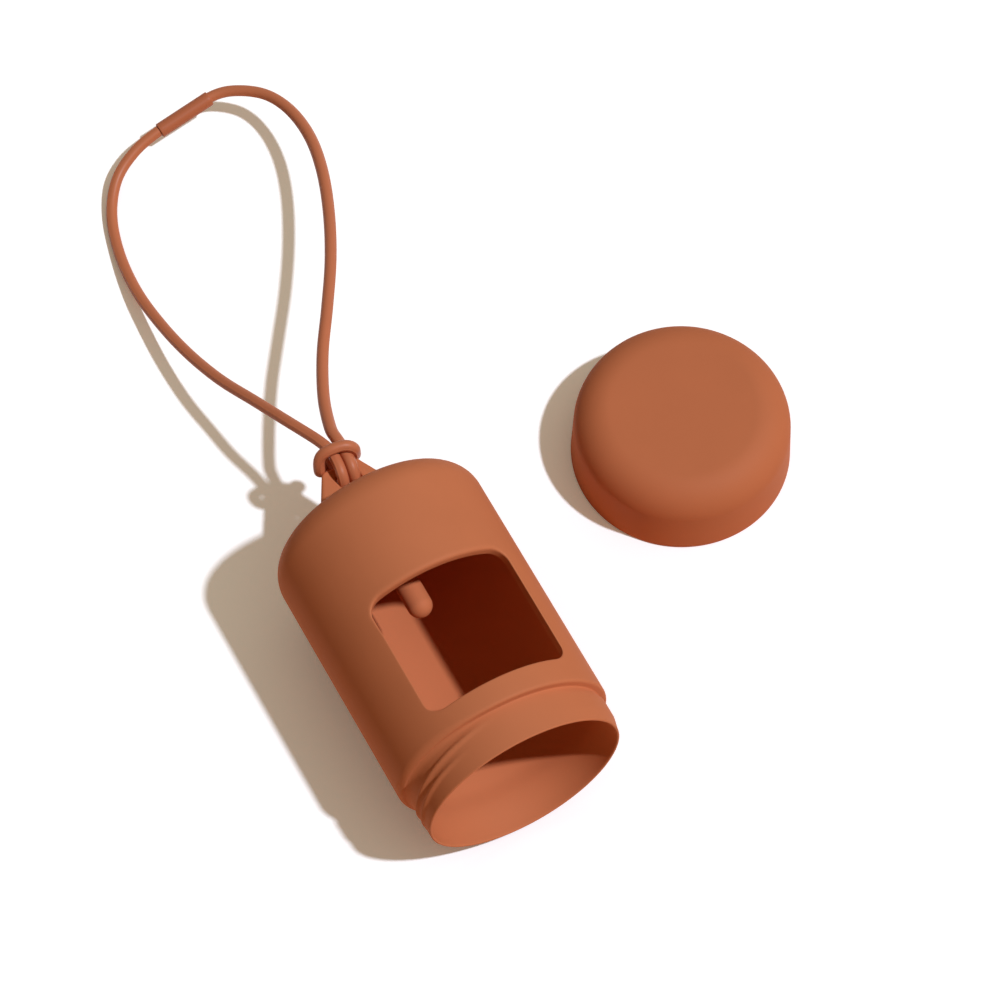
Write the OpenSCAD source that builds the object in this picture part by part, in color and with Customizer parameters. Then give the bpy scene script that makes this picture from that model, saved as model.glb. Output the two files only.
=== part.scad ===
/* [Body] */
// Outer diameter of the body and of the cap
body_d = 42; // [40:0.5:50]
// Length of the body from its closed end to the shoulder under the cap
body_len = 53.5; // [51.5:0.5:66]
// Thickness of the body's wall all round
wall = 2; // [1.6:0.1:2.4]
// Thickness of the closed end
end_wall = 2.2; // [1.6:0.1:3]
// Radius of the rounded edge at the closed end
end_round = 6.5; // [4:0.5:8]
// Radius of the rounded edge at the shoulder
shoulder_round = 1.4; // [0.4:0.1:1.4]

/* [Neck] */
// Depth of the step from the body down to the neck that the cap goes over
neck_step = 1.5; // [1.2:0.1:2]
// Length of the neck from the shoulder to the rim
neck_len = 8.5; // [7:0.5:12]
// Thickness of the neck's wall
neck_wall = 1.3; // [1.1:0.1:1.8]
// Thickness of the lip at the rim
lip = 0.7; // [0.5:0.1:1]
// Length of the flare that thins the neck to its lip
lip_len = 2.2; // [1.5:0.1:3]

/* [Window] */
// Distance from the closed end to the window
window_from = 24.2; // [22:0.2:26]
// Length of the window along the body
window_len = 25.2; // [18:0.2:25.8]
// Width of the window across the body, measured straight
window_w = 27.8; // [16:0.2:29]
// Radius of the window's corners
window_round = 2.8; // [1:0.2:6]
// Turn of the window about the body's axis, towards the cap
window_roll = 6; // [-10:1:10]

/* [Roll peg] */
// Diameter of the peg that the bag roll's core sits on
peg_d = 4.8; // [4:0.2:8]
// Length of the peg from the inner face of the closed end
peg_len = 21.4; // [14:0.2:24]
// Radius of the fillet at the peg's root
peg_fillet = 1.2; // [0.6:0.1:2]

/* [Cord lug] */
// Distance from the closed end to the middle of the lug's bar
bar_reach = 10.7; // [9.5:0.1:13]
// Diameter of the lug's bar
bar_d = 2.6; // [2.2:0.1:3]
// Thickness of the plate at the foot of the lug
lug_plate = 2.6; // [2:0.1:3]
// Distance between the middles of the two posts where they meet the body
lug_spread = 14.6; // [12:0.2:18]
// Diameter of a post where it meets the body
post_root_d = 4.2; // [3.4:0.2:5]
// Diameter of a post where it meets the bar
post_tip_d = 2.2; // [1.8:0.1:2.4]

/* [Cap] */
// Height of the cap
cap_h = 16.6; // [14:0.2:20]
// Radius of the rounded edge round the cap's top
cap_round = 6.5; // [4:0.5:8]
// Thickness of the cap's top
cap_top = 2; // [1.6:0.1:3]
// Gap between the neck and the cap's skirt, all round
cap_clear = 0.35; // [0.2:0.05:0.45]
// Width of the chamfer inside the cap's mouth
cap_lead = 0.4; // [0.2:0.1:0.6]

/* [Cord] */
// Diameter of the cord
cord_d = 2.2; // [1.8:0.1:2.3]
// Gap between strands of the cord in the hitch
strand_gap = 0.42; // [0.41:0.01:0.6]
// Gap between the cord and the lug
hitch_clear = 0.2; // [0.15:0.05:0.3]
// Length of the sleeve that joins the cord's two ends
sleeve_len = 11.8; // [8:0.2:14]
// Wall of the sleeve
sleeve_wall = 0.36; // [0.25:0.01:0.6]
// Gap between the cord and the sleeve's bore
sleeve_clear = 0.03; // [0.02:0.01:0.1]

/* [Layout] */
// Gap between the body and the cap as they lie side by side
cap_gap = 22; // [10:1:40]
// Distance from the body's closed end to the cap's middle, towards the rim
cap_back = 6.3; // [-5:0.1:30]

/* [Hidden] */
$fn = 96;
clay = [0.70, 0.40, 0.26];
clay_dark = [0.66, 0.37, 0.24];

// Places: the body lies along Y with its rim towards -Y, and the cap stands beside it on +X.
body_r = body_d / 2;
neck_r = body_r - neck_step;
throat_r = neck_r - neck_wall;
inner_r = body_r - wall;
rim_at = body_len + neck_len;
lug_reach = bar_reach + bar_d / 2;
back_edge = max(lug_reach, body_r - cap_back);
body_x = -(body_d + cap_gap) / 2;
cap_x = (body_d + cap_gap) / 2;
end_y = (rim_at - back_edge) / 2;
cap_y = end_y - cap_back;
bar_y = end_y + bar_reach;

// Hitch: strands lie side by side through the eye, and wrap the bar at one radius.
cord_r = cord_d / 2;
strand_x = (cord_d + strand_gap) / 2;
wrap_r = bar_d / 2 + hitch_clear + cord_r;
eye_corner = cord_r + hitch_clear;
eye_r = strand_x + eye_corner;
post_x = eye_r + post_tip_d / 2;

// A rounded disc's half outline: x is the radius, y the height, rounded at the low outer edge.
module half_disc(r, h, round) {
    translate([0, round]) square([r, h - round]);
    square([r - round, h]);
    translate([r - round, round]) circle(round);
}

// The same with the high outer edge rounded.
module half_disc_up(r, h, round) {
    translate([0, h]) mirror([0, 1]) half_disc(r, h, round);
}

// Turns a shape that stands on Z at the closed end so that it lies with its rim towards -Y.
module lay_down() {
    translate([body_x, end_y, body_r]) rotate([90, 0, 0]) children();
}

// Outer half outline of the body: closed end, shoulder and neck.
module shell_outside() {
    intersection() {
        half_disc(body_r, body_len, end_round);
        half_disc_up(body_r, body_len, shoulder_round);
    }
    translate([0, end_round]) half_disc_up(neck_r, rim_at - end_round, lip / 2);
}

// Inner half outline: roll bay, throat and the flare at the lip.
module shell_inside() {
    bay_top = body_len - wall;
    step = inner_r - throat_r;
    translate([0, end_wall]) half_disc(inner_r, bay_top - end_wall, end_round - wall);
    translate([0, bay_top]) polygon([
        [0, -1], [inner_r, 0], [throat_r, step], [throat_r, neck_len + wall - lip_len],
        [neck_r - lip, neck_len + wall], [neck_r - lip, neck_len + wall + 1], [0, neck_len + wall + 1]
    ]);
}

// A flat rectangle with rounded corners, w across and l along, from the origin up.
module rounded_window(w, l, round) {
    translate([-w / 2 + round, 0]) square([w - 2 * round, l]);
    translate([-w / 2, round]) square([w, l - 2 * round]);
    for (x = [-1, 1], y = [round, l - round]) {
        translate([x * (w / 2 - round), y]) circle(round);
    }
}

// The body: one moulded tube with a rounded closed end, a side window and a neck for the cap.
module body_shell() {
    color(clay) lay_down() difference() {
        rotate_extrude() difference() {
            shell_outside();
            shell_inside();
        }
        rotate([0, 0, -window_roll]) translate([0, body_d, window_from])
            rotate([90, 0, 0]) linear_extrude(body_d)
                rounded_window(window_w, window_len, window_round);
    }
}

// The peg: a post with a domed tip and a filleted root, standing on the closed end's inner face.
module roll_peg() {
    peg_r = peg_d / 2;
    color(clay) lay_down() translate([0, 0, end_wall]) rotate_extrude() {
        square([peg_r, peg_len - peg_r]);
        translate([0, peg_len - peg_r]) intersection() {
            circle(peg_r);
            square(peg_r);
        }
        difference() {
            square([peg_r + peg_fillet, peg_fillet]);
            translate([peg_r + peg_fillet, peg_fillet]) circle(peg_fillet);
        }
    }
}

// One post of the lug, leaning in from the closed end to the end of the bar.
module lug_post() {
    run = lug_spread / 2 - post_x;
    lean = atan(run / bar_reach);
    difference() {
        translate([lug_spread / 2, 0, 0]) rotate([0, -lean, 0]) translate([0, 0, -post_root_d])
            cylinder(
                h = bar_reach / cos(lean) + post_root_d,
                d1 = post_root_d,
                d2 = post_tip_d
            );
        translate([0, -body_r, -2 * post_root_d]) cube([body_d, body_d, 2 * post_root_d]);
    }
}

// The eye's outline, concentric with the two strands that turn through it, open towards the bar.
module lug_eye() {
    translate([-eye_r, 0]) square([2 * eye_r, bar_reach]);
    translate([-strand_x, -eye_corner]) square([2 * strand_x, bar_reach]);
    for (side = [-1, 1]) {
        translate([side * strand_x, 0]) circle(eye_corner);
    }
}

// The lug: two leaning posts, a round bar across their tips and a plate at the foot that ends in the eye.
module cord_lug() {
    color(clay) translate([body_x, end_y, body_r]) rotate([-90, 0, 0]) {
        for (side = [0, 1]) {
            mirror([side, 0, 0]) lug_post();
            mirror([side, 0, 0]) translate([post_x, 0, bar_reach]) sphere(d = post_tip_d);
        }
        translate([-post_x, 0, bar_reach]) rotate([0, 90, 0]) cylinder(h = 2 * post_x, d = bar_d);
        rotate([90, 0, 0]) translate([0, 0, -lug_plate / 2]) linear_extrude(lug_plate) {
            difference() {
                polygon([
                    [-lug_spread / 2, 0], [lug_spread / 2, 0],
                    [post_x, bar_reach], [-post_x, bar_reach]
                ]);
                translate([0, bar_reach - wrap_r]) lug_eye();
            }
        }
    }
}

// The cap: a round cup that goes over the neck and stands on its rim beside the body.
module screw_cap() {
    skirt_r = neck_r + cap_clear;
    color(clay) translate([cap_x, cap_y, 0]) rotate_extrude() difference() {
        half_disc_up(body_r, cap_h, cap_round);
        translate([0, -1]) square([skirt_r, neck_len + 1]);
        half_disc_up(skirt_r, cap_h - cap_top, cap_round - cap_top);
        polygon([[0, -1], [skirt_r + cap_lead, -1], [skirt_r + cap_lead, 0], [skirt_r, cap_lead], [0, cap_lead]]);
    }
}

// Cord route. Each point is [x, y, z] from the middle of the lug's bar: x across the body,
// y away from the closed end, z up. The loop slopes from the hitch down to the surface.
left_points = [
    [0.4, 89.7, -16.8], [-5, 86.6, -18.4], [-9.2, 80.5, -19.7], [-11.7, 72, -19.7],
    [-12.8, 62, -18], [-12.5, 52, -15.4], [-11.4, 42, -12.1], [-9.4, 32, -8.2],
    [-6.5, 22.5, -4], [-4, 14.5, -0.6]
];
right_points = [
    [24, 90.3, -12.6], [28.2, 86.2, -11.6], [30.4, 80, -10.4], [30.6, 72, -9],
    [28.7, 63, -7.5], [25, 53, -5.8], [20.2, 43, -4.1], [14.6, 33.5, -2.8],
    [9, 24.5, -2], [4.6, 15.5, -0.8]
];
sleeve_mid = [12.6, 91.5, -14.5];
sleeve_way = [11.7, 1, 1.9];

// One half of the hitch on its +x side, from where the leg leaves it to the middle of the crossing.
leg_points = [[2, 8, 1.4], [1.55, 5.6, 2.2], [1.35, 3.4, 2.6]];
ring_points = [
    [1.8, 2.5, -2.4], [2.9, 3.1, -1.6], [3.7, 3.1, -0.1], [4, 2.5, 1.7],
    [3.9, 1.9, 3.2], [3.2, 1.6, 4.5], [1.8, 1.6, 5.3], [0, 1.7, 5.5]
];
wrap_step = 36;
wrap_points = [
    for (turn = [0:wrap_step:180]) [strand_x, -wrap_r * sin(turn), wrap_r * cos(turn)]
];
half_hitch = concat(leg_points, wrap_points, ring_points);

function flip_x(p) = [-p[0], p[1], p[2]];
function backwards(list) = [for (i = [len(list) - 1:-1:0]) list[i]];
function unit(v) = v / norm(v);

// A smooth curve through p1 and p2 that also heeds the points before and after them.
function curve_at(p0, p1, p2, p3, t) =
    (2 * p1 + (p2 - p0) * t + (2 * p0 - 5 * p1 + 4 * p2 - p3) * t * t
    + (3 * p1 - p0 - 3 * p2 + p3) * t * t * t) / 2;
function smoothed(points, steps) = [
    for (i = [1:len(points) - 3], j = [0:steps - 1])
        curve_at(points[i - 1], points[i], points[i + 1], points[i + 2], j / steps)
];

// The whole cord, from the sleeve down the left side, through the hitch and up the right side.
end_gap = 0.2;
run_steps = 2;
way = unit(sleeve_way);
sleeve_exit = sleeve_len / 2 + 1;
left_exit = sleeve_mid - way * sleeve_exit;
right_exit = sleeve_mid + way * sleeve_exit;
hitch_route = concat([for (p = half_hitch) flip_x(p)], backwards([for (i = [0:len(half_hitch) - 2]) half_hitch[i]]));
hitch_rings = len(hitch_route);
left_route = concat(
    [sleeve_mid - way * end_gap / 2],
    smoothed(concat([sleeve_mid, left_exit], left_points, [hitch_route[0], hitch_route[1]]), run_steps)
);
right_route = concat(
    [sleeve_mid + way * end_gap / 2],
    smoothed(
        concat([sleeve_mid, right_exit], right_points, [hitch_route[hitch_rings - 1], hitch_route[hitch_rings - 2]]),
        run_steps
    )
);
route = concat(left_route, hitch_route, backwards(right_route));
hitch_from = len(left_route);
hitch_to = hitch_from + hitch_rings - 1;

// Directions along the route, and a side vector that turns with it without twisting.
last = len(route) - 1;
heading = [for (i = [0:last]) unit(route[min(i + 1, last)] - route[max(i - 1, 0)])];
function square_to(v, t) = unit(v - t * (v * t));
sides = [
    for (i = 0, s = square_to([0, 0, 1], heading[0]); i <= last;
        i = i + 1, s = square_to(s, heading[min(i, last)])) s
];

cord_sides = 8;
function ring_at(i) = [
    for (k = [0:cord_sides - 1])
        let (a = 360 * k / cord_sides, n = sides[i], b = cross(heading[i], n))
            route[i] + cord_r * (cos(a) * n + sin(a) * b)
];

// One tube along the route from ring number a to ring number b, with flat ends.
module cord_tube(a, b) {
    n = cord_sides;
    rings = b - a;
    points = [for (i = [a:b]) each ring_at(i)];
    walls = [
        for (i = [0:rings - 1], k = [0:n - 1])
            let (p = i * n + k, q = i * n + (k + 1) % n) each [[p, q, q + n], [p, q + n, p + n]]
    ];
    first_end = [for (k = [1:n - 2]) [0, k + 1, k]];
    last_end = [for (k = [1:n - 2]) [rings * n, rings * n + k, rings * n + k + 1]];
    translate([body_x, bar_y, body_r]) polyhedron(points, concat(walls, first_end, last_end));
}

// Lengths along the route, and how near two strands of the hitch come to each other.
function length_between(a, b) =
    a >= b ? 0 : norm(route[a + 1] - route[a]) + length_between(a + 1, b);
near_rings = 4;
hitch_gap = min([
    for (i = [hitch_from:hitch_to - near_rings], j = [i + near_rings:hitch_to])
        if (length_between(i, j) > 2 * cord_d) norm(route[i] - route[j])
]) - cord_d;
echo(hitch_gap = hitch_gap, cord_length = length_between(0, last), hitch_length = length_between(hitch_from, hitch_to));
echo(rings = last + 1, lowest = min([for (p = route) p[2]]) - cord_r + body_r);
echo(throat_r = throat_r, bar = [body_x, bar_y, body_r], cap = [cap_x, cap_y], end_y = end_y);

module cord_left_run() {
    color(clay_dark) cord_tube(0, hitch_from);
}

module cord_hitch() {
    color(clay_dark) cord_tube(hitch_from, hitch_to);
}

module cord_right_run() {
    color(clay_dark) cord_tube(hitch_to, last);
}

// The sleeve: a short tube with softened ends, over the two ends of the cord.
module joining_sleeve() {
    bore_r = cord_r + sleeve_clear;
    soft = sleeve_wall / 2;
    color(clay_dark) translate([body_x, bar_y, body_r] + sleeve_mid)
        rotate([0, acos(way[2]), atan2(way[1], way[0])]) rotate_extrude() {
            translate([bore_r, soft - sleeve_len / 2]) square([sleeve_wall, sleeve_len - 2 * soft]);
            for (end = [-1, 1]) {
                translate([bore_r + soft, end * (sleeve_len / 2 - soft)]) circle(soft);
            }
        }
}

body_shell();
roll_peg();
cord_lug();
screw_cap();
cord_left_run();
cord_right_run();
cord_hitch();
joining_sleeve();
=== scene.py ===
import math

import bmesh
import bpy
import numpy as np
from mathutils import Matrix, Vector


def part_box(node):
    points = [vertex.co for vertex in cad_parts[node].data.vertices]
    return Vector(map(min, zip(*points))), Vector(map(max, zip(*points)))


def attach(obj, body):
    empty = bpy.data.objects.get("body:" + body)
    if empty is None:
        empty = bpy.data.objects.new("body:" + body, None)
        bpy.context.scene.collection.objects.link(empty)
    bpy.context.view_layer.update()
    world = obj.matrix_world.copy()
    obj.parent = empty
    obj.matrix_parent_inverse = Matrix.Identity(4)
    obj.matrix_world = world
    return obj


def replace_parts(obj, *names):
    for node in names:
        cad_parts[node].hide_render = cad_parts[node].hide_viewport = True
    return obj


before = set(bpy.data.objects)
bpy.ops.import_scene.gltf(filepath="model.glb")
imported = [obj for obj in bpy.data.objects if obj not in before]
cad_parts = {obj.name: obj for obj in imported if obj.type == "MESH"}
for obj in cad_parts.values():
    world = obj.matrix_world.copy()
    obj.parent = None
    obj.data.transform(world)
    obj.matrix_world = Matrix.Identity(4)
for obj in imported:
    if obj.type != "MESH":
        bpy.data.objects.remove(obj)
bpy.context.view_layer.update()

MM = 0.001

# The body lies along Y, closed end towards +Y, and the cap stands beside it on +X.
shell_low, shell_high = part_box("body_shell")
cap_low, cap_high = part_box("screw_cap")
BODY_X = (shell_low.x + shell_high.x) / 2 / MM
BODY_R = (shell_high.z - shell_low.z) / 2 / MM
END_Y = shell_high.y / MM
RIM_AT = (shell_high.y - shell_low.y) / MM
CAP_X = (cap_low.x + cap_high.x) / 2 / MM
CAP_Y = (cap_low.y + cap_high.y) / 2 / MM
CAP_R = (cap_high.x - cap_low.x) / 2 / MM
CAP_H = cap_high.z / MM

# Sizes of the body in millimetres, measured along its axis from the closed end
WALL = 2
END_WALL = 2.2
END_ROUND = 6.5
INNER_R = BODY_R - WALL
NECK_R = BODY_R - 1.5
THROAT_R = NECK_R - 0.95
SHOULDER_AT = 53.5
BAY_TOP = SHOULDER_AT - WALL
LIP = 0.52
WINDOW_FROM = 24.2
WINDOW_LEN = 25.2
WINDOW_W = 27.8
WINDOW_ROUND = 2.8
WINDOW_ROLL = math.radians(6)

# Sizes of the lug on the closed end
BAR_REACH = 10.3
BAR_R = 1.0
POST_ROOT_X = 7.3
POST_ROOT_R = 2.1
POST_TIP_X = 3.05
POST_TIP_R = 1.05
BAR_END_X = 2.7
BAR_END_R = 1.15
PLATE = 2.6
LUG_LEAN = 0.2
EYE_SHIFT = 0.6
EYE_ROOM = 0.2
# Half the lug's thickness thins from its root to its bar, which gives the hitch room when the loop swings up.
HALF_AT_ROOT = 1.5
HALF_AT_BAR = 0.55

# Sizes of the cord, its hitch and its sleeve
CORD_R = 1.1
STRAND_X = 1.12
WRAP_R = 2.6
SLEEVE_LEN = 11.8
SLEEVE_R = 1.49
BAR_MID = np.array([BODY_X, END_Y + 10.7, BODY_R])


# Meshes

def add_mesh(name, points, faces, material, body):
    """A smooth closed mesh from points in millimetres, riding on a body."""
    mesh = bpy.data.meshes.new(name)
    mesh.from_pydata((np.asarray(points, float) * MM).tolist(), [], faces)
    mesh.validate()
    mesh.shade_smooth()
    mesh.materials.append(material)
    piece = bpy.data.objects.new(name, mesh)
    bpy.context.scene.collection.objects.link(piece)
    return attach(piece, body)


def grid_faces(rows, cols, closed=False):
    """Quads of a grid of points, listed row after row."""
    last = cols if closed else cols - 1
    return [
        (r * cols + c, r * cols + (c + 1) % cols, (r + 1) * cols + (c + 1) % cols, (r + 1) * cols + c)
        for r in range(rows - 1)
        for c in range(last)
    ]


def join_patches(patches):
    """One list of points and faces from grids of points, merged where they meet."""
    index = {}
    faces = []
    points = []
    for rows, closed in patches:
        count, cols = rows.shape[:2]
        own = []
        for p in rows.reshape(-1, 3):
            key = tuple(np.round(p, 3))
            if key not in index:
                index[key] = len(points)
                points.append(p)
            own.append(index[key])
        for quad in grid_faces(count, cols, closed):
            corners = list(dict.fromkeys(own[i] for i in quad))
            if len(corners) > 2:
                faces.append(corners)
    return np.array(points), faces


def arc(centre, radius, start, end, steps):
    """Points of an arc in a half outline, angles in degrees."""
    turn = np.radians(np.linspace(start, end, steps + 1))
    return [(centre[0] + radius * math.cos(a), centre[1] + radius * math.sin(a)) for a in turn]


def spaced(start, end, step):
    """Points along a straight line of a half outline, its first point left out."""
    count = max(1, round(math.dist(start, end) / step))
    return [
        (start[0] + (end[0] - start[0]) * i / count, start[1] + (end[1] - start[1]) * i / count)
        for i in range(1, count + 1)
    ]


def through(corners, step):
    """A half outline through corners, each (radius, height) or a ready list of arc points."""
    line = []
    for item in corners:
        points = item if isinstance(item, list) else [item]
        if not line:
            line = points[:]
            continue
        if math.dist(line[-1], points[0]) > 1e-4:
            line += spaced(line[-1], points[0], step)
        line += points[1:]
    return line


# Cord route. Each point is [x, y, z] in millimetres from the middle of the lug's bar:
# x across the body, y away from the closed end, z up.
left_points = [
    [0.4, 89.7, -16.8], [-5, 86.6, -18.4], [-9.2, 80.5, -19.7], [-11.7, 72, -19.7],
    [-12.8, 62, -18], [-12.5, 52, -15.4], [-11.4, 42, -12.1], [-9.4, 32, -8.2],
    [-6.5, 22.5, -4], [-4, 14.5, -0.6],
]
right_points = [
    [24, 90.3, -12.6], [28.2, 86.2, -11.6], [30.4, 80, -10.4], [30.6, 72, -9],
    [28.7, 63, -7.5], [25, 53, -5.8], [20.2, 43, -4.1], [14.6, 33.5, -2.8],
    [9, 24.5, -2], [4.6, 15.5, -0.8],
]
sleeve_mid = np.array([12.6, 91.5, -14.5])
sleeve_way = np.array([11.7, 1, 1.9])
sleeve_way = sleeve_way / np.linalg.norm(sleeve_way)
leg_points = [[1.9, 8, 1.4], [1.4, 5.6, 2.2], [STRAND_X, 3.4, 2.6]]
wrap_points = [
    [STRAND_X, -WRAP_R * math.sin(math.radians(turn)), WRAP_R * math.cos(math.radians(turn))]
    for turn in range(0, 181, 36)
]
ring_left = [
    [-0.7, 3.4, -2.9], [-1.3, 4.4, -2.9], [-2.1, 3.8, -2.6], [-2.75, 2.4, -1.9], [-3.35, 1.7, -0.6],
    [-3.45, 1.6, 0.8], [-3.3, 2, 2.2], [-2.85, 2.4, 3.3], [-2, 2.5, 4.2], [-0.8, 2.3, 4.75],
]
ring_right = [
    [2.1, 2.6, -2.9], [2.9, 3.4, -2.8], [3.7, 2.8, -2.1], [4.1, 1.9, -1], [4.1, 1.6, 0.2], [3.95, 1.4, 1.1],
    [3.85, 1.2, 2], [3.8, 1.1, 3.1], [3.4, 1.2, 4.1], [2.5, 1.65, 4.8],
]
ring_middle = [0.9, 2.1, 4.9]


def curve_through(points, steps):
    """A smooth curve through points, with its end spans straightened."""
    p = np.array(points, float)
    p = np.vstack([2 * p[0] - p[1], p, 2 * p[-1] - p[-2]])
    t = np.arange(steps)[:, None] / steps
    spans = []
    for i in range(1, len(p) - 2):
        a, b, c, d = p[i - 1 : i + 3]
        bend = 2 * a - 5 * b + 4 * c - d
        twist = 3 * b - a - 3 * c + d
        spans.append((2 * b + (c - a) * t + bend * t * t + twist * t**3) / 2)
    return np.vstack(spans + [p[-2:-1]])


def evenly(line, step):
    """The same line with its points a step apart."""
    gone = np.r_[0, np.cumsum(np.linalg.norm(np.diff(line, axis=0), axis=1))]
    at = np.linspace(0, gone[-1], max(2, round(gone[-1] / step) + 1))
    return np.stack([np.interp(at, gone, line[:, k]) for k in range(3)], 1)


def eased(line, times):
    """The same line with its kinks smoothed out, its ends kept."""
    line = line.copy()
    for _ in range(times):
        line[1:-1] = (line[:-2] + 2 * line[1:-1] + line[2:]) / 4
    return line


def headings(line):
    ahead = np.vstack([line[1:2] - line[0:1], line[2:] - line[:-2], line[-1:] - line[-2:-1]])
    return ahead / np.linalg.norm(ahead, axis=1)[:, None]


def side_vectors(line):
    """A side vector at each point that turns with the line without twisting."""
    ahead = headings(line)
    side = np.array([0, 0, 1.0])
    found = []
    for way in ahead:
        side = side - way * (side @ way)
        side = side / np.linalg.norm(side)
        found.append(side)
    return np.array(found)


# One route for the whole cord: from the sleeve down the left run, through the hitch, up the right run
ROUTE_STEP = 0.5
SLEEVE_EXIT = SLEEVE_LEN / 2 + 1
HITCH_DROP = 0.4
STRAND_LEAN = ((-2.6, 0.5), (1.5, 1), (3.4, 0.9), (8, 0.3), (12, 0))


def placed(points, side):
    """Points of one strand of the hitch, pulled a little towards the cap and down on to the bar."""
    at, by = zip(*STRAND_LEAN)
    return [
        [side * x + float(np.interp(y, at, by)), y - HITCH_DROP * float(np.interp(y, (4, 8), (1, 0))), z]
        for x, y, z in points
    ]


def half_hitch(side, ring):
    """One half of the hitch, from its run to the middle of its ring."""
    return placed(leg_points + wrap_points, side) + ring


control = (
    [sleeve_mid - sleeve_way * SLEEVE_EXIT]
    + left_points
    + half_hitch(-1, ring_left)
    + [ring_middle]
    + half_hitch(1, ring_right)[::-1]
    + right_points[::-1]
    + [sleeve_mid + sleeve_way * SLEEVE_EXIT]
)
loop = curve_through([sleeve_mid] + control + [sleeve_mid], 12)
loop = eased(evenly(loop, ROUTE_STEP), 3)
half_way = len(loop) // 2
under_left, under_right = [np.array(placed([[STRAND_X, 2.3, 2.6]], side)[0]) for side in (-1, 1)]
leg_left = int(np.argmin(np.linalg.norm(loop[:half_way] - under_left, axis=1)))
leg_right = half_way + int(np.argmin(np.linalg.norm(loop[half_way:] - under_right, axis=1)))
loop_sides = side_vectors(loop)
loop_ways = headings(loop)

CORD_SIDES = 28
SEAM_AT = [math.radians(a) for a in (35, 215)]
SEAM_W = 0.14
SEAM_H = 0.09


def cord_radius(turn):
    """The cord's radius round its section: a circle with two fine mould lines along it."""
    r = np.full_like(turn, CORD_R)
    for seam in SEAM_AT:
        off = np.angle(np.exp(1j * (turn - seam))) * CORD_R
        r += SEAM_H * np.exp(-((off / SEAM_W) ** 2))
    return r


def cord_turns():
    """Angles round the section, closer together at the mould lines."""
    even = np.linspace(0, 2 * math.pi, CORD_SIDES, endpoint=False)
    extra = [seam + off / CORD_R for seam in SEAM_AT for off in (-0.3, -0.16, -0.08, 0, 0.08, 0.16, 0.3)]
    return np.sort(np.r_[even, np.mod(extra, 2 * math.pi)])


def cord_rings(picked):
    """Rings of points round the loop at the picked places, in row millimetres."""
    turn = cord_turns()
    r = cord_radius(turn)
    across = np.cross(loop_ways[picked], loop_sides[picked])
    spread = np.cos(turn)[None, :, None] * loop_sides[picked][:, None, :]
    spread = spread + np.sin(turn)[None, :, None] * across[:, None, :]
    return BAR_MID + loop[picked][:, None, :] + r[None, :, None] * spread


def capped_tube(rings):
    """A tube's points and faces from its rings, with a flat face on each end."""
    count, sides = rings.shape[:2]
    faces = grid_faces(count, sides, closed=True)
    faces.append(list(range(sides))[::-1])
    faces.append([(count - 1) * sides + k for k in range(sides)])
    return rings.reshape(-1, 3), faces


def flatten_ends(tube):
    """Shades a tube's two end faces flat, so that its side stays smooth up to them."""
    for face in tube.data.polygons[-2:]:
        face.use_smooth = False


def make_free_cord(material):
    """The two runs as one length of cord, which meets its own end inside the sleeve."""
    picked = np.r_[np.arange(leg_right, len(loop)), np.arange(0, leg_left + 1)]
    rings = cord_rings(picked)
    ends_meet = len(loop) - leg_right
    rings = np.delete(rings, ends_meet, axis=0)
    points, faces = capped_tube(rings)
    cord = add_mesh("cord_loop_run", points, faces, material, "cord_loop")
    flatten_ends(cord)
    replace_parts(cord, "cord_left_run", "cord_right_run")
    return cord


def make_hitch(material):
    """The cord's hitch round the lug's bar."""
    points, faces = capped_tube(cord_rings(np.arange(leg_left, leg_right + 1)))
    hitch = add_mesh("cord_hitch_knot", points, faces, material, "cord_loop")
    flatten_ends(hitch)
    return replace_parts(hitch, "cord_hitch")


def make_sleeve(material):
    """The sleeve over the cord's two ends: a soft-ended tube."""
    soft = 0.17
    bore = CORD_R + 0.03
    outline = through(
        [
            (bore, -SLEEVE_LEN / 2 + soft),
            arc((bore + soft, -SLEEVE_LEN / 2 + soft), soft, 180, 270, 3),
            arc((SLEEVE_R - soft, -SLEEVE_LEN / 2 + soft), soft, 270, 360, 3),
            arc((SLEEVE_R - soft, SLEEVE_LEN / 2 - soft), soft, 0, 90, 3),
            arc((bore + soft, SLEEVE_LEN / 2 - soft), soft, 90, 180, 3),
        ],
        0.6,
    )
    side = np.cross(sleeve_way, [0, 0, 1.0])
    side = side / np.linalg.norm(side)
    up = np.cross(side, sleeve_way)
    turn = np.linspace(0, 2 * math.pi, 40, endpoint=False)
    spokes = np.cos(turn)[:, None] * side + np.sin(turn)[:, None] * up
    rings = np.array([BAR_MID + sleeve_mid + h * sleeve_way + r * spokes for r, h in outline])
    points, faces = join_patches([(np.concatenate([rings, rings[:1]]), True)])
    sleeve = add_mesh("cord_sleeve", points, faces, material, "cord_loop")
    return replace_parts(sleeve, "joining_sleeve")


# Body

PATCH_HALF = math.radians(54)
PATCH_MID = math.radians(34)
PATCH_FROM = WINDOW_FROM - 2.6
PATCH_TO = BAY_TOP - 0.3
EDGE_SOFT = 0.35
EDGE_SOFTER = 0.55
INNER_SOFT = 0.4
ACROSS = 28
ALONG = 24
CORNER = 4


def on_body(r, turn, t):
    """A point of the body: radius, angle from the window's middle towards the cap, place along the body."""
    a = np.asarray(turn, float) + WINDOW_ROLL
    r, a, t = np.broadcast_arrays(r, a, t)
    return np.stack([BODY_X + r * np.sin(a), END_Y - t, BODY_R + r * np.cos(a)], -1)


def by_window(x, t, up):
    """A point of the body in the window's own plane: x across it, t along the body, up from the axis."""
    s, c = math.sin(WINDOW_ROLL), math.cos(WINDOW_ROLL)
    x, t, up = np.broadcast_arrays(x, t, up)
    return np.stack([BODY_X + x * c + up * s, END_Y - t, BODY_R - x * s + up * c], -1)


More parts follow.
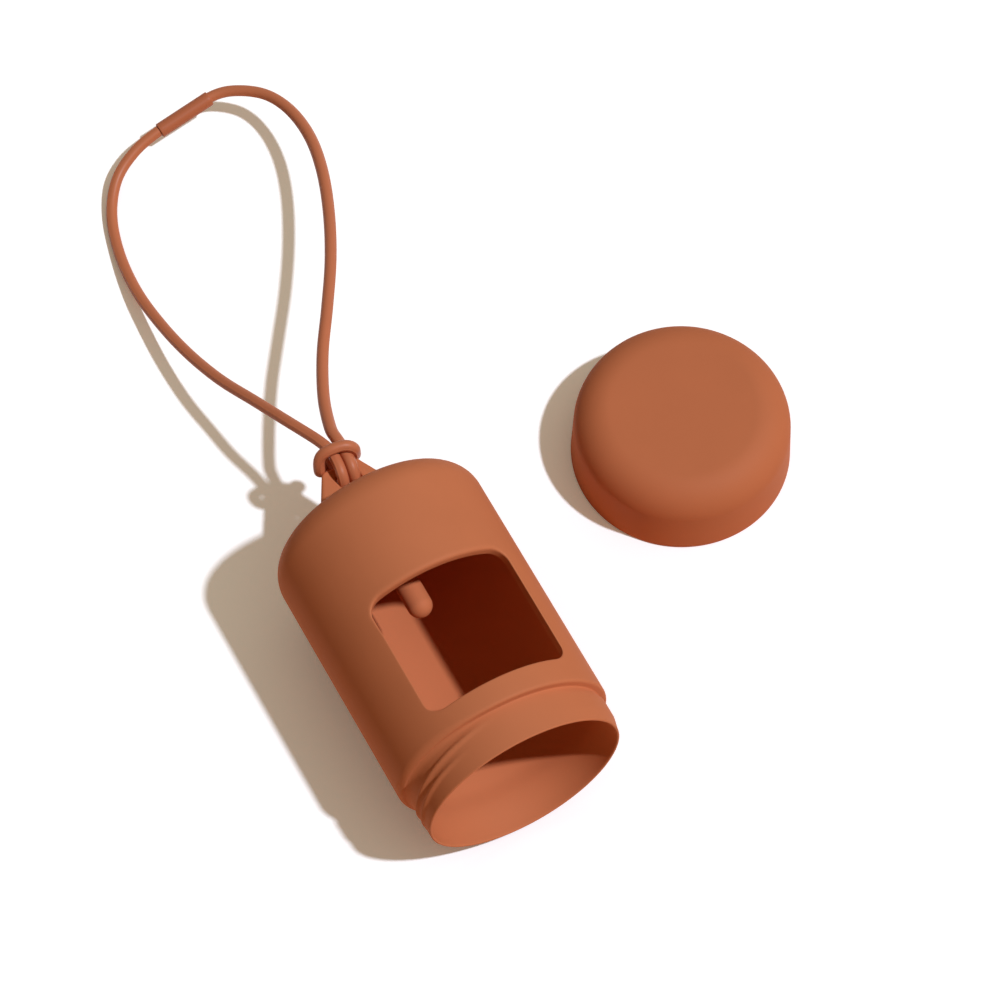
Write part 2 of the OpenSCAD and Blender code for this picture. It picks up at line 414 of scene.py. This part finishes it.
def stretch(*stops):
    """Numbers from stop to stop: value, count, value, count, ... value."""
    found = [np.array([stops[0]], float)]
    for i in range(0, len(stops) - 2, 2):
        found.append(np.linspace(stops[i], stops[i + 2], stops[i + 1] + 1)[1:])
    return np.concatenate(found)


PATCH_TURNS = stretch(-PATCH_HALF, CORNER, -PATCH_MID, ACROSS, PATCH_MID, CORNER, PATCH_HALF)
FAR_TURNS = stretch(PATCH_HALF, 84, 2 * math.pi - PATCH_HALF)
ALL_TURNS = np.r_[PATCH_TURNS[:-1], FAR_TURNS[:-1]]
PATCH_ROWS = stretch(
    PATCH_FROM, CORNER, WINDOW_FROM + WINDOW_ROUND, ALONG,
    WINDOW_FROM + WINDOW_LEN - WINDOW_ROUND, CORNER, PATCH_TO,
)


def window_outline():
    """The window's outline in its plane, as (x, t) points with their outward normals."""
    half = WINDOW_W / 2 - WINDOW_ROUND
    near = WINDOW_FROM + WINDOW_ROUND
    far = WINDOW_FROM + WINDOW_LEN - WINDOW_ROUND
    turns = ((half, near, -90), (half, far, 0), (-half, far, 90), (-half, near, 180))
    counts = (ALONG, ACROSS, ALONG, ACROSS)
    places, normals = [], []
    for k, (x, t, start) in enumerate(turns):
        for a in np.radians(np.linspace(start, start + 90, 2 * CORNER + 1)):
            way = np.array([math.cos(a), math.sin(a)])
            places.append(np.array([x, t]) + WINDOW_ROUND * way)
            normals.append(way)
        nx, nt, _ = turns[(k + 1) % 4]
        after = np.array([nx, nt]) + WINDOW_ROUND * way
        for i in range(1, counts[k]):
            places.append(places[-1] + (after - places[-1]) / (counts[k] - i + 1))
            normals.append(way)
    return np.array(places), np.array(normals)


def outer_softness():
    """Roundness of the window's outer edge at each point: softest at the closed end."""
    places, _ = window_outline()
    return (EDGE_SOFT + EDGE_SOFTER * np.clip(1 - (places[:, 1] - WINDOW_FROM) / 7, 0, 1))[:, None]


def patch_border():
    """The rectangle round the window, as (angle, t) points in step with the outline's points."""
    inner = PATCH_TURNS[::-1]
    sides = [
        [(a, PATCH_FROM) for a in PATCH_TURNS[CORNER + ACROSS : -1]],
        [(PATCH_HALF, t) for t in PATCH_ROWS[:-1]],
        [(a, PATCH_TO) for a in inner[:-1]],
        [(-PATCH_HALF, t) for t in PATCH_ROWS[::-1][:-1]],
        [(a, PATCH_FROM) for a in PATCH_TURNS[: CORNER + ACROSS]],
    ]
    return np.array([p for side in sides for p in side])


def window_rings(r, soft, spread_steps):
    """Rings on the cylinder of radius r from the rectangle to the start of the window's rounded edge."""
    places, normals = window_outline()
    border = patch_border()
    start = places + soft * normals
    goal = np.stack([np.arcsin(start[:, 0] / r), start[:, 1]], 1)
    return [
        on_body(r, *(border + (goal - border) * s).T)
        for s in np.linspace(0, 1, spread_steps + 1) ** 0.8
    ]


def rounded_edge(r, soft, steps, inward):
    """Rings from the surface of radius r round the window's edge into its cut wall."""
    places, normals = window_outline()
    x, t = places.T
    out = places + soft * normals
    surface = by_window(out[:, 0], out[:, 1], np.sqrt(r * r - out[:, 0] ** 2))
    edge = by_window(x, t, np.sqrt(r * r - x * x))
    wall = by_window(x, t, np.sqrt(r * r - x * x) + inward * np.ravel(soft))
    return [
        surface * (1 - s) ** 2 + 2 * edge * s * (1 - s) + wall * s * s
        for s in np.linspace(0, 1, steps + 1)
    ]


def window_patch():
    """The stretch of the body round the window: outer surface, rounded edges, cut wall and inner surface."""
    outer = window_rings(BODY_R, outer_softness(), 4)
    over = rounded_edge(BODY_R, outer_softness(), 6, -1)
    under = rounded_edge(INNER_R, INNER_SOFT, 4, 1)[::-1]
    inner = window_rings(INNER_R, INNER_SOFT, 4)[::-1]
    wall = [over[-1] + (under[0] - over[-1]) * s for s in (1 / 3, 2 / 3)]
    return np.array(outer + over[1:] + wall + under + inner[1:])


# The neck's thread: two starts that each climb part of the way round and fade out at their ends.
# Each is a ridge with a lower one beside it on the rim's side.
THREAD_STARTS = (-5, 190)
THREAD_AT = 54.4
THREAD_CLIMB = 0.034
THREAD_SPAN = 98
THREAD_RUN_OUT = 12
RIDGES = (
    {"beside": 0, "later": 0, "high": 0.52, "wide": 1.5, "fade": 38},
    {"beside": 2.05, "later": 22, "high": 0.45, "wide": 1.5, "fade": 30},
)


def thread_bump(turn, t):
    """Height of the thread at an angle (degrees from straight up) and a place along the body."""
    height = np.zeros(np.broadcast(turn, t).shape)
    for start in THREAD_STARTS:
        gone = np.mod(start - turn, 360)
        for ridge in RIDGES:
            middle = THREAD_AT + THREAD_CLIMB * gone + ridge["beside"]
            across = np.clip(np.abs(t - middle) / (ridge["wide"] / 2), 0, 1)
            rise = (gone - ridge["later"]) / ridge["fade"]
            ends = np.clip(np.minimum(rise, (THREAD_SPAN - gone) / THREAD_RUN_OUT), 0, 1)
            height = height + ridge["high"] * (1 - across**2) ** 2 * ends * ends * (3 - 2 * ends)
    return height


# The soft neck sits a little askew and bulges on the cap's side.
WAIST_AT = 55.5
ASKEW = 0.85
ASKEW_SWING = 0.45
BULGE = 0.55
BULGE_AT = 85
BULGE_WIDE = 35


def throat_line():
    """Points of the throat from the lip in to the bay: it narrows and widens again on soft curves."""
    lip_at = RIM_AT - LIP / 2
    line = []
    for t in np.arange(lip_at - 0.5, PATCH_TO, -0.5):
        if t > WAIST_AT:
            share, wide = (t - WAIST_AT) / (lip_at - WAIST_AT), NECK_R - LIP
        else:
            share, wide = (WAIST_AT - t) / (WAIST_AT - PATCH_TO), INNER_R
        line.append((THROAT_R + (wide - THROAT_R) * share * share * (3 - 2 * share), t))
    return line + [(INNER_R, PATCH_TO)]


def stepped(soft, drop_at, foot, foot_at, steep):
    """Half outline of the shoulder's step: its rounded edge, its face and its hollow foot."""
    return np.array(
        arc((BODY_R - soft, drop_at), soft, 0, steep, 7)
        + arc((NECK_R + foot, foot_at), foot, -180 + steep, -180, 7)
    )


CRISP_STEP = stepped(0.6, SHOULDER_AT - 0.75, 0.3, SHOULDER_AT + 0.2, 84)
SOFT_STEP = stepped(1.41, SHOULDER_AT - 1.66, 1.41, SHOULDER_AT + 0.83, 62)


def rim_outline():
    """Half outline from the neck round the rim and back through the throat."""
    lip_r = LIP / 2
    lip = arc((NECK_R - lip_r, RIM_AT - lip_r), lip_r, 0, 180, 8)
    return spaced((NECK_R, SHOULDER_AT + 0.85), lip[0], 0.25) + lip[1:] + throat_line()


def step_rows(degrees):
    """Rings of the shoulder: a crisp step on the cap's side that softens on the far side."""
    share = np.clip((degrees + 50) / 45, 0, 1)
    share = share * share * (3 - 2 * share)
    start = np.array([[BODY_R, PATCH_TO], [BODY_R, PATCH_TO + 0.5]])
    crisp, soft = np.vstack([start, CRISP_STEP]), np.vstack([start, SOFT_STEP])
    return [(s + (c - s) * share[:, None]).T for c, s in zip(crisp, soft)]


def neck_rows():
    """Rings of the body past the window, from the shoulder round the rim and back through the throat."""
    degrees = (np.degrees(ALL_TURNS + WINDOW_ROLL) + 180) % 360 - 180
    askew = ASKEW + ASKEW_SWING * np.sin(np.radians(degrees))
    side = np.exp(-(((degrees - BULGE_AT) / BULGE_WIDE) ** 2))

    def shifted(r, t):
        near_shoulder = np.clip((t - PATCH_TO) / 1.8, 0, 1) * np.clip((RIM_AT - t) / 6, 0, 1)
        return on_body(r, ALL_TURNS, t + askew * near_shoulder)

    rows = [shifted(r, t) for r, t in step_rows(degrees)]
    for r, t in rim_outline():
        if r < NECK_R - 0.02:
            rows.append(on_body(r, ALL_TURNS, t))
            continue
        bulge = BULGE * side * min(1, max(0, (RIM_AT - 0.4 - t) / 3)) * min(1, (t - SHOULDER_AT) / 0.8)
        bump = thread_bump(degrees, t)
        rows.append(shifted(r + bump + bulge, t))
    return rows


def make_body(material):
    """The moulded body: rounded closed end, windowed side, shoulder, threaded neck and thin lip."""
    def rows(outline):
        return np.array([on_body(r, ALL_TURNS, t) for r, t in outline])

    closed_end = through(
        [(0, 0), arc((BODY_R - END_ROUND, END_ROUND), END_ROUND, -90, 0, 14), (BODY_R, PATCH_FROM)],
        2,
    )
    inside_end = through(
        [
            (INNER_R, PATCH_FROM),
            arc((BODY_R - END_ROUND, END_ROUND), END_ROUND - WALL, 0, -90, 10),
            (0, END_WALL),
        ],
        2,
    )
    band_out = np.array([on_body(BODY_R, FAR_TURNS, t) for t in PATCH_ROWS])
    band_in = np.array([on_body(INNER_R, FAR_TURNS, t) for t in PATCH_ROWS[::-1]])
    points, faces = join_patches(
        [
            (rows(closed_end), True),
            (band_out, False),
            (np.array(neck_rows()), True),
            (band_in, False),
            (rows(inside_end), True),
            (window_patch(), True),
        ]
    )
    body = add_mesh("body_moulding", points, faces, material, "body")
    fix_normals(body)
    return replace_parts(body, "body_shell")


def fix_normals(piece):
    """Turns every face of a closed mesh outwards."""
    work = bmesh.new()
    work.from_mesh(piece.data)
    bmesh.ops.recalc_face_normals(work, faces=work.faces)
    work.to_mesh(piece.data)
    work.free()


def revolve(outline, centre, ahead, side, name, material, body, shape=None):
    """A closed solid turned about an axis from a half outline of (radius, height) points."""
    turn = np.linspace(0, 2 * math.pi, 144, endpoint=False)
    ahead, side = np.array(ahead, float), np.array(side, float)
    spokes = np.cos(turn)[:, None] * side + np.sin(turn)[:, None] * np.cross(ahead, side)
    rings = []
    for r, h in outline:
        radius = np.full_like(turn, r)
        if shape is not None:
            radius = radius + shape(turn, r, h)
        rings.append(np.array(centre) + h * ahead + radius[:, None] * spokes)
    points, faces = join_patches([(np.array(rings), True)])
    piece = add_mesh(name, points, faces, material, body)
    fix_normals(piece)
    return piece


def make_peg(material):
    """The post that the bag roll's core sits on, with a domed tip and a filleted root."""
    peg_r, peg_len, fillet, sunk = 2.4, 21.4, 1.2, 0.02
    outline = through(
        [
            (0, -sunk), (peg_r + fillet + 0.02, -sunk),
            arc((peg_r + fillet, fillet), fillet, -90, -180, 6),
            arc((0, peg_len - peg_r), peg_r, 0, 90, 12),
        ],
        1.2,
    )
    foot = (BODY_X, END_Y - END_WALL, BODY_R)
    peg = revolve(outline, foot, (0, -1, 0), (1, 0, 0), "roll_post", material, "body")
    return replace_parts(peg, "roll_peg")


def make_cap(material):
    """The screw cap: rounded top, softened rim, and a thread groove inside its skirt."""
    cap_round, top, lead, soft, taper = 6.8, 2, 0.4, 0.35, 0.35
    skirt_r = NECK_R + 0.35
    groove_depth = 0.9
    inner_round = cap_round - top
    outline = through(
        [
            (skirt_r + lead, 0), (CAP_R - soft, 0),
            arc((CAP_R - soft, soft), soft, -90, 0, 4),
            arc((CAP_R - taper - cap_round, CAP_H - cap_round), cap_round, 0, 90, 18),
            (0, CAP_H), (0, CAP_H - top),
            arc((skirt_r - inner_round, CAP_H - top - inner_round), inner_round, 90, 0, 10),
            (skirt_r, lead), (skirt_r + lead, 0),
        ],
        1,
    )

    def groove(turn, r, h):
        inside = abs(r - skirt_r) < 0.01 and 1 < h < 8
        return groove_depth * thread_bump(-np.degrees(turn), SHOULDER_AT + h) if inside else 0

    centre = (CAP_X, CAP_Y, 0)
    cap = revolve(outline, centre, (0, 0, 1), (0, 1, 0), "cap_cup", material, "cap", groove)
    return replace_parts(cap, "screw_cap")


# Lug: one smooth skin drawn from distances to its bar, posts and plate, which flares into the closed end

def to_capsule(p, a, b, ra, rb):
    """Distance to a capsule from a to b whose radius runs from ra to rb."""
    a, b = np.array(a, float), np.array(b, float)
    along = np.clip(((p - a) @ (b - a)) / ((b - a) @ (b - a)), 0, 1)
    return np.linalg.norm(p - a - along[:, None] * (b - a), axis=1) - (ra + (rb - ra) * along)


def merged(d1, d2, k):
    """Joins two shapes with a fillet about k wide."""
    h = np.clip(k - np.abs(d1 - d2), 0, None) / k
    return np.minimum(d1, d2) - h * h * k / 4


def cut_to(d1, d2, k):
    """Keeps what two shapes share, with its new edges rounded about k wide."""
    return -merged(-d1, -d2, k)


def to_plate(p, across):
    """Distance to the lug's plate, with soft edges and an eye where the two strands pass."""
    soft = 0.45
    half = POST_ROOT_X + (POST_TIP_X - POST_ROOT_X) * p[:, 1] / BAR_REACH
    slope = math.hypot(1, (POST_ROOT_X - POST_TIP_X) / BAR_REACH)
    beyond = np.abs(p[:, 1] - BAR_REACH / 2) - BAR_REACH / 2
    flat = np.maximum((np.abs(p[:, 0]) - half) / slope, beyond)
    corner = CORD_R + EYE_ROOM
    q = np.stack([np.abs(across - EYE_SHIFT) - STRAND_X, BAR_REACH - WRAP_R - p[:, 1]], 1)
    eye = np.linalg.norm(np.maximum(q, 0), axis=1) + np.minimum(q.max(1), 0) - corner
    flat = np.maximum(flat, -eye) + soft
    thick = np.abs(p[:, 2]) - PLATE / 2 + soft
    both = np.stack([flat, thick], 1)
    return np.linalg.norm(np.maximum(both, 0), axis=1) + np.minimum(both.max(1), 0) - soft


def to_lug(p):
    """Distance to the whole lug, in millimetres from where the body's axis leaves the closed end."""
    p = p - LUG_LEAN / BAR_REACH * p[:, 1:2] * [1, 0, 0]
    across = p[:, 0]
    p = np.abs(p * [1, 0, 1]) + p * [0, 1, 0]
    tip = (POST_TIP_X, BAR_REACH, 0)
    posts = to_capsule(p, (POST_ROOT_X, 0, 0), tip, POST_ROOT_R, POST_TIP_R)
    half = HALF_AT_ROOT + (HALF_AT_BAR - HALF_AT_ROOT) * np.clip(p[:, 1] / BAR_REACH, 0, 1)
    web = merged(posts, to_plate(p, across), 0.7)
    bar = to_capsule(p, (0, BAR_REACH, 0), (BAR_END_X, BAR_REACH, 0), BAR_R, BAR_END_R)
    flare, fillet, edge, sunk = 1.8, 0.35, 0.4, 0.02
    lug = cut_to(merged(web, bar, fillet), p[:, 2] - half, edge)
    skin = merged(lug, p[:, 1] + sunk, flare)
    return np.maximum(np.maximum(skin, lug - flare), -0.3 - p[:, 1])


def skin_of(distance, low, high, cell):
    """A mesh of the surface where a distance is nought: one point in each cell that it crosses."""
    axes = [np.arange(a, b + cell, cell) for a, b in zip(low, high)]
    nodes = np.stack(np.meshgrid(*axes, indexing="ij"), -1)
    shape = nodes.shape[:3]
    value = distance(nodes.reshape(-1, 3)).reshape(shape)
    inside = value < 0
    corners = [(i, j, k) for i in (0, 1) for j in (0, 1) for k in (0, 1)]
    cells = tuple(n - 1 for n in shape)
    part = [tuple(slice(c, c + n) for c, n in zip(corner, cells)) for corner in corners]
    hits = sum(inside[s].astype(int) for s in part)
    used = (hits > 0) & (hits < 8)
    number = np.full(cells, -1)
    number[used] = np.arange(used.sum())
    base = nodes[:-1, :-1, :-1][used]
    total = np.zeros((len(base), 3))
    count = np.zeros(len(base))
    for a in range(8):
        for b in range(a + 1, 8):
            step = np.array(corners[b]) - np.array(corners[a])
            if np.abs(step).sum() != 1:
                continue
            va, vb = value[part[a]][used], value[part[b]][used]
            cross = (va < 0) != (vb < 0)
            s = np.where(cross, va / np.where(cross, va - vb, 1), 0)
            total += cross[:, None] * (np.array(corners[a]) + s[:, None] * step)
            count += cross
    points = base + cell * total / count[:, None]
    faces = []
    for axis in range(3):
        u, v = (axis + 1) % 3, (axis + 2) % 3
        lower = [slice(1, n - 1) for n in shape]
        upper = list(lower)
        lower[axis] = slice(0, shape[axis] - 1)
        upper[axis] = slice(1, shape[axis])
        first, second = inside[tuple(lower)], inside[tuple(upper)]
        where = np.argwhere(first != second)
        where = where + np.array([0 if k == axis else 1 for k in range(3)])
        flip = second[first != second]
        step_u, step_v = np.eye(3, dtype=int)[u], np.eye(3, dtype=int)[v]
        quad = [where - step_u - step_v, where - step_v, where, where - step_u]
        quad = np.stack([number[tuple(q.T)] for q in quad], 1)
        quad[flip] = quad[flip][:, ::-1]
        faces.append(quad)
    return settle(points, distance), np.vstack(faces).tolist()


def settle(points, distance, times=4):
    """Moves points onto the surface where a distance is nought."""
    tiny = 0.01
    for _ in range(times):
        d = distance(points)
        steps = [tiny * e for e in np.eye(3)]
        slope = np.stack([(distance(points + e) - distance(points - e)) / (2 * tiny) for e in steps], 1)
        size = np.maximum((slope**2).sum(1), 0.25)
        points = points - np.clip(d / size, -0.1, 0.1)[:, None] * slope
    return points


def make_lug(material):
    """The lug that the cord hitches on."""
    cell = 0.2
    low, high = (-11.6, -0.6, -4.3), (11.6, BAR_REACH + 1.7, 4.3)
    points, faces = skin_of(to_lug, low, high, cell)
    points = points + np.array([BODY_X, END_Y, BODY_R])
    lug = add_mesh("cord_lug_skin", points, faces, material, "body")
    fix_normals(lug)
    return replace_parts(lug, "cord_lug")


# Materials

def silicone(name, colour, roughness, grain, fleck, sheen=0.12):
    """Moulded silicone: a soft colour that varies a little, with a fine matte grain."""
    material = bpy.data.materials.new(name)
    material.use_nodes = True
    nodes, links = material.node_tree.nodes, material.node_tree.links
    shader = nodes["Principled BSDF"]
    shader.inputs["IOR"].default_value = 1.42
    shader.inputs["Specular IOR Level"].default_value = sheen
    place = nodes.new("ShaderNodeTexCoord")
    cloud = nodes.new("ShaderNodeTexNoise")
    cloud.inputs["Scale"].default_value = 90
    cloud.inputs["Detail"].default_value = 3
    links.new(place.outputs["Object"], cloud.inputs["Vector"])
    shade = nodes.new("ShaderNodeMapRange")
    shade.inputs["From Min"].default_value = 0.3
    shade.inputs["From Max"].default_value = 0.7
    shade.inputs["To Min"].default_value = 1 - fleck
    shade.inputs["To Max"].default_value = 1 + fleck
    links.new(cloud.outputs["Fac"], shade.inputs["Value"])
    tint = nodes.new("ShaderNodeHueSaturation")
    tint.inputs["Color"].default_value = (*colour, 1)
    links.new(shade.outputs["Result"], tint.inputs["Value"])
    links.new(tint.outputs["Color"], shader.inputs["Base Color"])
    rough = nodes.new("ShaderNodeMapRange")
    rough.inputs["To Min"].default_value = roughness - 0.05
    rough.inputs["To Max"].default_value = roughness + 0.05
    links.new(cloud.outputs["Fac"], rough.inputs["Value"])
    links.new(rough.outputs["Result"], shader.inputs["Roughness"])
    fine = nodes.new("ShaderNodeTexNoise")
    fine.inputs["Scale"].default_value = 5200
    fine.inputs["Detail"].default_value = 2
    links.new(place.outputs["Object"], fine.inputs["Vector"])
    bump = nodes.new("ShaderNodeBump")
    bump.inputs["Strength"].default_value = grain
    bump.inputs["Distance"].default_value = 0.03 * MM
    links.new(fine.outputs["Fac"], bump.inputs["Height"])
    links.new(bump.outputs["Normal"], shader.inputs["Normal"])
    return material


def from_screen(red, green, blue):
    """A colour as seen on a screen, 0 to 255, in the renderer's own units."""
    parts = [c / 255 for c in (red, green, blue)]
    return tuple(c / 12.92 if c <= 0.04045 else ((c + 0.055) / 1.055) ** 2.4 for c in parts)


CLAY = from_screen(204, 118, 77)
body_silicone = silicone("moulded_clay", CLAY, 0.62, 0.25, 0.02)
cap_silicone = silicone("cap_clay", from_screen(198, 112, 72), 0.62, 0.25, 0.02)
cord_silicone = silicone("cord_clay", from_screen(196, 112, 74), 0.42, 0.15, 0.02, 0.28)
sleeve_silicone = silicone("sleeve_clay", from_screen(186, 103, 67), 0.42, 0.15, 0.02, 0.25)


# Camera: from above the body's mouth end, as the photograph was taken

CAMERA_AT = Vector((-210.24, -360.21, 847.04)) * MM
CAMERA_AIM = Vector((-3.555, 24.162, 0)) * MM


def make_camera():
    data = bpy.data.cameras.new("camera")
    data.lens = 180
    data.sensor_width = 36
    data.clip_start = 0.01
    camera = bpy.data.objects.new("camera", data)
    camera.location = CAMERA_AT
    camera.rotation_euler = (CAMERA_AIM - CAMERA_AT).to_track_quat("-Z", "Y").to_euler()
    bpy.context.scene.collection.objects.link(camera)
    bpy.context.scene.camera = camera


# Light and floor

TO_SUN = Vector((0.405, -0.42, 1))
SUN_SIZE = math.radians(2.4)
SUN_STRENGTH = 2.45
SUN_COLOUR = (1.0, 1.07, 1.2)
SKY_LOW = 0.02
SKY_HIGH = 0.14
SKY_COLOUR = (1.0, 0.88, 0.36)
PAPER_SEEN = (1.0, 1.0, 1.0)
# Painted light on the floor: an emission glow seen only by camera and gloss rays, which lightens the floor's
# shadows. Within the distance below it fades near the part, as painted shade.
PAPER_PAINTED_GLOW = (0.385, 0.315, 0.26)
PAPER_SHADE_REACH = 0.045
PAPER_LIT = (0.86, 0.46, 0.2)


def seen_rays(nodes, links):
    """One for rays that should meet the white background: the camera's, and those from gloss or glass."""
    path = nodes.new("ShaderNodeLightPath")
    straight = nodes.new("ShaderNodeMath")
    straight.operation = "MAXIMUM"
    links.new(path.outputs["Is Camera Ray"], straight.inputs[0])
    links.new(path.outputs["Is Transmission Ray"], straight.inputs[1])
    both = nodes.new("ShaderNodeMath")
    both.operation = "MAXIMUM"
    links.new(straight.outputs["Value"], both.inputs[0])
    links.new(path.outputs["Is Glossy Ray"], both.inputs[1])
    return both.outputs["Value"]


def make_sun():
    data = bpy.data.lights.new("key", "SUN")
    data.energy = SUN_STRENGTH
    data.color = SUN_COLOUR
    data.angle = SUN_SIZE
    lamp = bpy.data.objects.new("key", data)
    lamp.rotation_euler = (-TO_SUN).to_track_quat("-Z", "Y").to_euler()
    bpy.context.scene.collection.objects.link(lamp)


def make_world():
    """A weak sky that is stronger from above, shown white to the rays that see the background."""
    world = bpy.data.worlds.new("studio")
    world.use_nodes = True
    nodes, links = world.node_tree.nodes, world.node_tree.links
    fill = nodes["Background"]
    fill.inputs["Color"].default_value = (*SKY_COLOUR, 1)
    place = nodes.new("ShaderNodeTexCoord")
    parts = nodes.new("ShaderNodeSeparateXYZ")
    links.new(place.outputs["Generated"], parts.inputs["Vector"])
    rise = nodes.new("ShaderNodeMapRange")
    rise.interpolation_type = "SMOOTHSTEP"
    rise.inputs["From Min"].default_value = 0.3
    rise.inputs["To Min"].default_value = SKY_LOW
    rise.inputs["To Max"].default_value = SKY_HIGH
    links.new(parts.outputs["Z"], rise.inputs["Value"])
    links.new(rise.outputs["Result"], fill.inputs["Strength"])
    white = nodes.new("ShaderNodeBackground")
    white.inputs["Color"].default_value = (1, 1, 1, 1)
    choose = nodes.new("ShaderNodeMixShader")
    links.new(seen_rays(nodes, links), choose.inputs["Fac"])
    links.new(fill.outputs["Background"], choose.inputs[1])
    links.new(white.outputs["Background"], choose.inputs[2])
    links.new(choose.outputs["Shader"], nodes["World Output"].inputs["Surface"])
    bpy.context.scene.world = world


def make_floor():
    """A pale floor: white to the camera, warm to the light that it sends back. A painted glow, seen only by
    camera and gloss rays, lightens its shadows, and ambient occlusion dims that glow near the part as painted
    shade.
    """
    size = 1.5
    mesh = bpy.data.meshes.new("floor")
    corners = [(-size, -size, 0), (size, -size, 0), (size, size, 0), (-size, size, 0)]
    mesh.from_pydata(corners, [], [(0, 1, 2, 3)])
    material = bpy.data.materials.new("paper")
    material.use_nodes = True
    nodes, links = material.node_tree.nodes, material.node_tree.links
    shader = nodes["Principled BSDF"]
    shader.inputs["Roughness"].default_value = 1
    shader.inputs["Specular IOR Level"].default_value = 0
    seen = seen_rays(nodes, links)
    tone = nodes.new("ShaderNodeMix")
    tone.data_type = "RGBA"
    tone.inputs["A"].default_value = (*PAPER_LIT, 1)
    tone.inputs["B"].default_value = (*PAPER_SEEN, 1)
    links.new(seen, tone.inputs["Factor"])
    links.new(tone.outputs["Result"], shader.inputs["Base Color"])
    shader.inputs["Emission Color"].default_value = (*PAPER_PAINTED_GLOW, 1)
    # Painted shade: ambient occlusion dims the painted glow near the part.
    near = nodes.new("ShaderNodeAmbientOcclusion")
    near.samples = 4
    near.inputs["Distance"].default_value = PAPER_SHADE_REACH
    painted_glow = nodes.new("ShaderNodeMath")
    painted_glow.operation = "MULTIPLY"
    links.new(near.outputs["AO"], painted_glow.inputs[0])
    links.new(seen, painted_glow.inputs[1])
    links.new(painted_glow.outputs["Value"], shader.inputs["Emission Strength"])
    mesh.materials.append(material)
    floor = bpy.data.objects.new("floor", mesh)
    bpy.context.scene.collection.objects.link(floor)


make_camera()
make_sun()
make_world()
make_floor()
sleeve = make_sleeve(sleeve_silicone)
make_free_cord(cord_silicone)
make_hitch(cord_silicone)
make_body(body_silicone)
make_peg(body_silicone)
make_lug(body_silicone)
make_cap(cap_silicone)

bpy.context.scene.view_settings.view_transform = "Standard"
